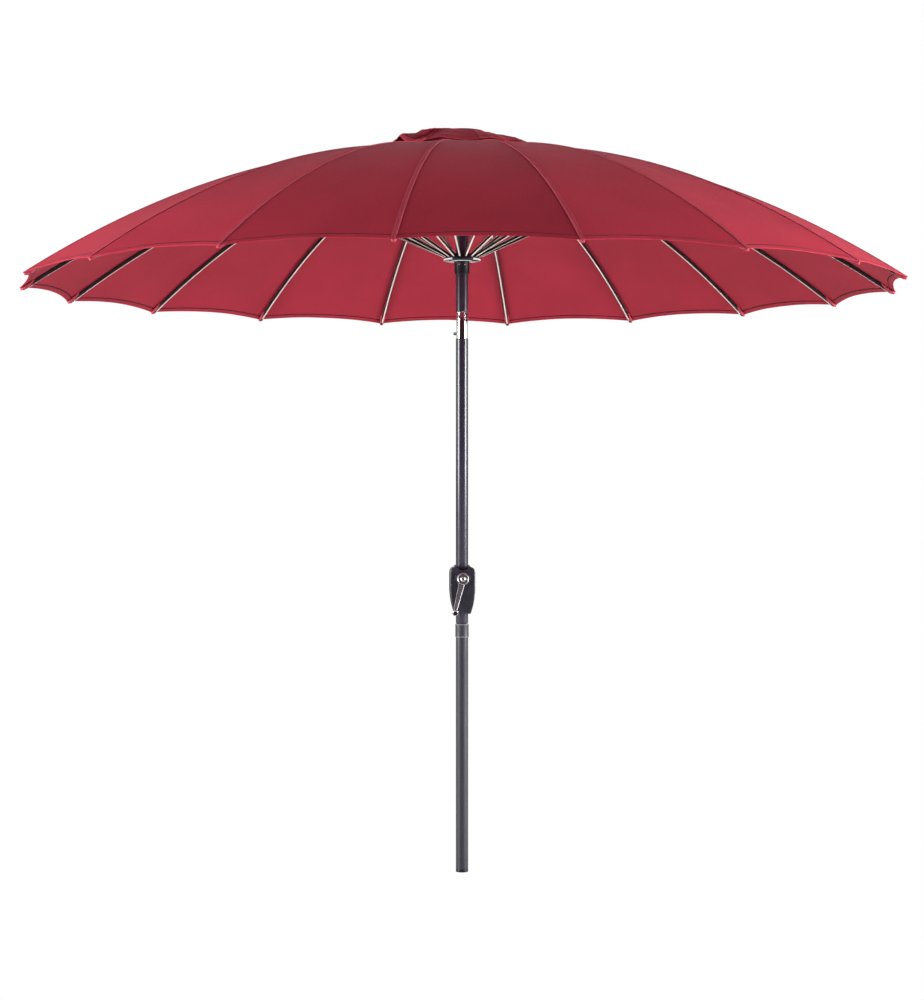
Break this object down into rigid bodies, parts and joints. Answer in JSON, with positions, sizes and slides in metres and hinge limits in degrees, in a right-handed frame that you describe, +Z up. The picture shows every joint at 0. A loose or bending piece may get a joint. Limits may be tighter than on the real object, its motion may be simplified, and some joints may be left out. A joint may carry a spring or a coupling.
{
  "type": "patio umbrella",
  "caption": "Crank-lift patio umbrella with a shallow round ribbed fabric canopy, a vent cap, folding ribs and struts, and a push-button tilting head on a two-piece pole.",
  "frame": {"origin": "centre of the pole's flat lower end, where it enters a base", "axes": "+Z up along the pole; -Y is the crank's side; one rib lies along +X"},
  "size_m": [2.7, 2.659, 2.288],
  "materials": {
    "matt_pole_coat": "matte",
    "gloss_pole_coat": "gloss",
    "collar_plastic": "matte",
    "housing_plastic": "satin",
    "crank_plastic": "satin",
    "black_plastic": "satin",
    "tilt_chrome": "polished",
    "knob_chrome": "gloss",
    "wire_steel": "satin",
    "rib_metal": "gloss",
    "cord": "matte",
    "canopy_fabric": "matte"
  },
  "bodies": {
    "mast": {"pole_foot_plug": "black_plastic", "lower_pole": "matt_pole_coat", "pole_collar": "collar_plastic", "middle_pole": "gloss_pole_coat", "crank_housing_front": "housing_plastic", "crank_housing_rear": "housing_plastic", "tilt_fork": "tilt_chrome", "tilt_pin": "tilt_chrome", "lift_cord_lower": "cord"},
    "crank": {"crank_drum": "black_plastic", "crank_arm": "crank_plastic"},
    "crank_knob": {"crank_knob": "knob_chrome"},
    "tilt_button": {"tilt_button": "housing_plastic"},
    "head": {"tilt_knuckle": "tilt_chrome", "upper_pole": "gloss_pole_coat", "top_hub": "black_plastic", "hub_wire_ring": "wire_steel", "canopy": "canopy_fabric", "vent_cap": "canopy_fabric", "cap_nut": "black_plastic", "lift_cord_upper": "cord", "lift_cord_outer": "cord"},
    "pulley": {"lift_pulley": "black_plastic"},
    "runner": {"runner": "black_plastic"},
    "rib_01": {"rib_01": "rib_metal"},
    "strut_01": {"strut_01": "rib_metal"},
    "rib_02": {"rib_02": "rib_metal"},
    "strut_02": {"strut_02": "rib_metal"},
    "rib_03": {"rib_03": "rib_metal"},
    "strut_03": {"strut_03": "rib_metal"},
    "rib_04": {"rib_04": "rib_metal"},
    "strut_04": {"strut_04": "rib_metal"},
    "rib_05": {"rib_05": "rib_metal"},
    "strut_05": {"strut_05": "rib_metal"},
    "rib_06": {"rib_06": "rib_metal"},
    "strut_06": {"strut_06": "rib_metal"},
    "rib_07": {"rib_07": "rib_metal"},
    "strut_07": {"strut_07": "rib_metal"},
    "rib_08": {"rib_08": "rib_metal"},
    "strut_08": {"strut_08": "rib_metal"},
    "rib_09": {"rib_09": "rib_metal"},
    "strut_09": {"strut_09": "rib_metal"},
    "rib_10": {"rib_10": "rib_metal"},
    "strut_10": {"strut_10": "rib_metal"},
    "rib_11": {"rib_11": "rib_metal"},
    "strut_11": {"strut_11": "rib_metal"},
    "rib_12": {"rib_12": "rib_metal"},
    "strut_12": {"strut_12": "rib_metal"},
    "rib_13": {"rib_13": "rib_metal"},
    "strut_13": {"strut_13": "rib_metal"},
    "rib_14": {"rib_14": "rib_metal"},
    "strut_14": {"strut_14": "rib_metal"},
    "rib_15": {"rib_15": "rib_metal"},
    "strut_15": {"strut_15": "rib_metal"},
    "rib_16": {"rib_16": "rib_metal"},
    "strut_16": {"strut_16": "rib_metal"},
    "rib_17": {"rib_17": "rib_metal"},
    "strut_17": {"strut_17": "rib_metal"},
    "rib_18": {"rib_18": "rib_metal"},
    "strut_18": {"strut_18": "rib_metal"}
  },
  "joints": [
    {"name": "head_tilt", "type": "hinge", "parent": "mast", "child": "head", "pos_m": [0, 0, 1.709], "axis": [-0.5, -0.866, 0], "range_deg": [0, 30]},
    {"name": "tilt_button_push", "type": "slide", "parent": "mast", "child": "tilt_button", "axis": [0.866, -0.5, 0], "range_m": [0, 0.005], "stiffness_N_per_m": 400},
    {"name": "runner_slide", "type": "slide", "parent": "head", "child": "runner", "axis": [0, 0, 1], "range_m": [-0.8034, 0], "deforming": ["lift_cord_outer"]},
    {"name": "crank_turn", "type": "hinge", "parent": "mast", "child": "crank", "pos_m": [0, 0, 0.905], "axis": [0, 1, 0], "range_deg": [-3240, 0]},
    {"name": "knob_spin", "type": "hinge", "parent": "crank", "child": "crank_knob", "pos_m": [-0.025, -0.08, 0.8025], "axis": [0, 1, 0], "continuous": true},
    {"name": "pulley_turn", "type": "hinge", "parent": "head", "child": "pulley", "pos_m": [0.01312, -0.00758, 2.195], "axis": [0.5, 0.866, 0], "range_deg": [0, 4924]},
    {"name": "rib_01_fold", "type": "hinge", "parent": "head", "child": "rib_01", "pos_m": [0.045, 0, 2.20975], "axis": [0, 1, 0], "range_deg": [0, 66]},
    {"name": "strut_01_fold", "type": "hinge", "parent": "rib_01", "child": "strut_01", "pos_m": [0.6, 0, 2.13747], "axis": [0, -1, 0], "range_deg": [0, 117.03]},
    {"name": "rib_02_fold", "type": "hinge", "parent": "head", "child": "rib_02", "pos_m": [0.04229, 0.01539, 2.20975], "axis": [-0.342, 0.9397, 0], "range_deg": [0, 66]},
    {"name": "strut_02_fold", "type": "hinge", "parent": "rib_02", "child": "strut_02", "pos_m": [0.56382, 0.20521, 2.13747], "axis": [0.342, -0.9397, 0], "range_deg": [0, 117.03]},
    {"name": "rib_03_fold", "type": "hinge", "parent": "head", "child": "rib_03", "pos_m": [0.03447, 0.02892, 2.20975], "axis": [-0.6428, 0.766, 0], "range_deg": [0, 66]},
    {"name": "strut_03_fold", "type": "hinge", "parent": "rib_03", "child": "strut_03", "pos_m": [0.45963, 0.38567, 2.13747], "axis": [0.6428, -0.766, 0], "range_deg": [0, 117.03]},
    {"name": "rib_04_fold", "type": "hinge", "parent": "head", "child": "rib_04", "pos_m": [0.0225, 0.03897, 2.20975], "axis": [-0.866, 0.5, 0], "range_deg": [0, 66]},
    {"name": "strut_04_fold", "type": "hinge", "parent": "rib_04", "child": "strut_04", "pos_m": [0.3, 0.51962, 2.13747], "axis": [0.866, -0.5, 0], "range_deg": [0, 117.03]},
    {"name": "rib_05_fold", "type": "hinge", "parent": "head", "child": "rib_05", "pos_m": [0.00781, 0.04432, 2.20975], "axis": [-0.9848, 0.1736, 0], "range_deg": [0, 66]},
    {"name": "strut_05_fold", "type": "hinge", "parent": "rib_05", "child": "strut_05", "pos_m": [0.10419, 0.59088, 2.13747], "axis": [0.9848, -0.1736, 0], "range_deg": [0, 117.03]},
    {"name": "rib_06_fold", "type": "hinge", "parent": "head", "child": "rib_06", "pos_m": [-0.00781, 0.04432, 2.20975], "axis": [-0.9848, -0.1736, 0], "range_deg": [0, 66]},
    {"name": "strut_06_fold", "type": "hinge", "parent": "rib_06", "child": "strut_06", "pos_m": [-0.10419, 0.59088, 2.13747], "axis": [0.9848, 0.1736, 0], "range_deg": [0, 117.03]},
    {"name": "rib_07_fold", "type": "hinge", "parent": "head", "child": "rib_07", "pos_m": [-0.0225, 0.03897, 2.20975], "axis": [-0.866, -0.5, 0], "range_deg": [0, 66]},
    {"name": "strut_07_fold", "type": "hinge", "parent": "rib_07", "child": "strut_07", "pos_m": [-0.3, 0.51962, 2.13747], "axis": [0.866, 0.5, 0], "range_deg": [0, 117.03]},
    {"name": "rib_08_fold", "type": "hinge", "parent": "head", "child": "rib_08", "pos_m": [-0.03447, 0.02892, 2.20975], "axis": [-0.6428, -0.766, 0], "range_deg": [0, 66]},
    {"name": "strut_08_fold", "type": "hinge", "parent": "rib_08", "child": "strut_08", "pos_m": [-0.45963, 0.38567, 2.13747], "axis": [0.6428, 0.766, 0], "range_deg": [0, 117.03]},
    {"name": "rib_09_fold", "type": "hinge", "parent": "head", "child": "rib_09", "pos_m": [-0.04229, 0.01539, 2.20975], "axis": [-0.342, -0.9397, 0], "range_deg": [0, 66]},
    {"name": "strut_09_fold", "type": "hinge", "parent": "rib_09", "child": "strut_09", "pos_m": [-0.56382, 0.20521, 2.13747], "axis": [0.342, 0.9397, 0], "range_deg": [0, 117.03]},
    {"name": "rib_10_fold", "type": "hinge", "parent": "head", "child": "rib_10", "pos_m": [-0.045, 0, 2.20975], "axis": [0, -1, 0], "range_deg": [0, 66]},
    {"name": "strut_10_fold", "type": "hinge", "parent": "rib_10", "child": "strut_10", "pos_m": [-0.6, 0, 2.13747], "axis": [0, 1, 0], "range_deg": [0, 117.03]},
    {"name": "rib_11_fold", "type": "hinge", "parent": "head", "child": "rib_11", "pos_m": [-0.04229, -0.01539, 2.20975], "axis": [0.342, -0.9397, 0], "range_deg": [0, 66]},
    {"name": "strut_11_fold", "type": "hinge", "parent": "rib_11", "child": "strut_11", "pos_m": [-0.56382, -0.20521, 2.13747], "axis": [-0.342, 0.9397, 0], "range_deg": [0, 117.03]},
    {"name": "rib_12_fold", "type": "hinge", "parent": "head", "child": "rib_12", "pos_m": [-0.03447, -0.02892, 2.20975], "axis": [0.6428, -0.766, 0], "range_deg": [0, 66]},
    {"name": "strut_12_fold", "type": "hinge", "parent": "rib_12", "child": "strut_12", "pos_m": [-0.45963, -0.38567, 2.13747], "axis": [-0.6428, 0.766, 0], "range_deg": [0, 117.03]},
    {"name": "rib_13_fold", "type": "hinge", "parent": "head", "child": "rib_13", "pos_m": [-0.0225, -0.03897, 2.20975], "axis": [0.866, -0.5, 0], "range_deg": [0, 66]},
    {"name": "strut_13_fold", "type": "hinge", "parent": "rib_13", "child": "strut_13", "pos_m": [-0.3, -0.51962, 2.13747], "axis": [-0.866, 0.5, 0], "range_deg": [0, 117.03]},
    {"name": "rib_14_fold", "type": "hinge", "parent": "head", "child": "rib_14", "pos_m": [-0.00781, -0.04432, 2.20975], "axis": [0.9848, -0.1736, 0], "range_deg": [0, 66]},
    {"name": "strut_14_fold", "type": "hinge", "parent": "rib_14", "child": "strut_14", "pos_m": [-0.10419, -0.59088, 2.13747], "axis": [-0.9848, 0.1736, 0], "range_deg": [0, 117.03]},
    {"name": "rib_15_fold", "type": "hinge", "parent": "head", "child": "rib_15", "pos_m": [0.00781, -0.04432, 2.20975], "axis": [0.9848, 0.1736, 0], "range_deg": [0, 66]},
    {"name": "strut_15_fold", "type": "hinge", "parent": "rib_15", "child": "strut_15", "pos_m": [0.10419, -0.59088, 2.13747], "axis": [-0.9848, -0.1736, 0], "range_deg": [0, 117.03]},
    {"name": "rib_16_fold", "type": "hinge", "parent": "head", "child": "rib_16", "pos_m": [0.0225, -0.03897, 2.20975], "axis": [0.866, 0.5, 0], "range_deg": [0, 66]},
    {"name": "strut_16_fold", "type": "hinge", "parent": "rib_16", "child": "strut_16", "pos_m": [0.3, -0.51962, 2.13747], "axis": [-0.866, -0.5, 0], "range_deg": [0, 117.03]},
    {"name": "rib_17_fold", "type": "hinge", "parent": "head", "child": "rib_17", "pos_m": [0.03447, -0.02892, 2.20975], "axis": [0.6428, 0.766, 0], "range_deg": [0, 66]},
    {"name": "strut_17_fold", "type": "hinge", "parent": "rib_17", "child": "strut_17", "pos_m": [0.45963, -0.38567, 2.13747], "axis": [-0.6428, -0.766, 0], "range_deg": [0, 117.03]},
    {"name": "rib_18_fold", "type": "hinge", "parent": "head", "child": "rib_18", "pos_m": [0.04229, -0.01539, 2.20975], "axis": [0.342, 0.9397, 0], "range_deg": [0, 66]},
    {"name": "strut_18_fold", "type": "hinge", "parent": "rib_18", "child": "strut_18", "pos_m": [0.56382, -0.20521, 2.13747], "axis": [-0.342, -0.9397, 0], "range_deg": [0, 117.03]}
  ],
  "couplings": [
    {"joint": "crank_turn", "follows": "runner_slide", "rad_per_m": 70.387},
    {"joint": "pulley_turn", "follows": "runner_slide", "rad_per_m": -106.95},
    {"joint": "rib_01_fold", "follows": "runner_slide", "rad_per_m": -1.4338},
    {"joint": "strut_01_fold", "follows": "runner_slide", "rad_per_m": -2.5423},
    {"joint": "rib_02_fold", "follows": "runner_slide", "rad_per_m": -1.4338},
    {"joint": "strut_02_fold", "follows": "runner_slide", "rad_per_m": -2.5423},
    {"joint": "rib_03_fold", "follows": "runner_slide", "rad_per_m": -1.4338},
    {"joint": "strut_03_fold", "follows": "runner_slide", "rad_per_m": -2.5423},
    {"joint": "rib_04_fold", "follows": "runner_slide", "rad_per_m": -1.4338},
    {"joint": "strut_04_fold", "follows": "runner_slide", "rad_per_m": -2.5423},
    {"joint": "rib_05_fold", "follows": "runner_slide", "rad_per_m": -1.4338},
    {"joint": "strut_05_fold", "follows": "runner_slide", "rad_per_m": -2.5423},
    {"joint": "rib_06_fold", "follows": "runner_slide", "rad_per_m": -1.4338},
    {"joint": "strut_06_fold", "follows": "runner_slide", "rad_per_m": -2.5423},
    {"joint": "rib_07_fold", "follows": "runner_slide", "rad_per_m": -1.4338},
    {"joint": "strut_07_fold", "follows": "runner_slide", "rad_per_m": -2.5423},
    {"joint": "rib_08_fold", "follows": "runner_slide", "rad_per_m": -1.4338},
    {"joint": "strut_08_fold", "follows": "runner_slide", "rad_per_m": -2.5423},
    {"joint": "rib_09_fold", "follows": "runner_slide", "rad_per_m": -1.4338},
    {"joint": "strut_09_fold", "follows": "runner_slide", "rad_per_m": -2.5423},
    {"joint": "rib_10_fold", "follows": "runner_slide", "rad_per_m": -1.4338},
    {"joint": "strut_10_fold", "follows": "runner_slide", "rad_per_m": -2.5423},
    {"joint": "rib_11_fold", "follows": "runner_slide", "rad_per_m": -1.4338},
    {"joint": "strut_11_fold", "follows": "runner_slide", "rad_per_m": -2.5423},
    {"joint": "rib_12_fold", "follows": "runner_slide", "rad_per_m": -1.4338},
    {"joint": "strut_12_fold", "follows": "runner_slide", "rad_per_m": -2.5423},
    {"joint": "rib_13_fold", "follows": "runner_slide", "rad_per_m": -1.4338},
    {"joint": "strut_13_fold", "follows": "runner_slide", "rad_per_m": -2.5423},
    {"joint": "rib_14_fold", "follows": "runner_slide", "rad_per_m": -1.4338},
    {"joint": "strut_14_fold", "follows": "runner_slide", "rad_per_m": -2.5423},
    {"joint": "rib_15_fold", "follows": "runner_slide", "rad_per_m": -1.4338},
    {"joint": "strut_15_fold", "follows": "runner_slide", "rad_per_m": -2.5423},
    {"joint": "rib_16_fold", "follows": "runner_slide", "rad_per_m": -1.4338},
    {"joint": "strut_16_fold", "follows": "runner_slide", "rad_per_m": -2.5423},
    {"joint": "rib_17_fold", "follows": "runner_slide", "rad_per_m": -1.4338},
    {"joint": "strut_17_fold", "follows": "runner_slide", "rad_per_m": -2.5423},
    {"joint": "rib_18_fold", "follows": "runner_slide", "rad_per_m": -1.4338},
    {"joint": "strut_18_fold", "follows": "runner_slide", "rad_per_m": -2.5423}
  ]
}
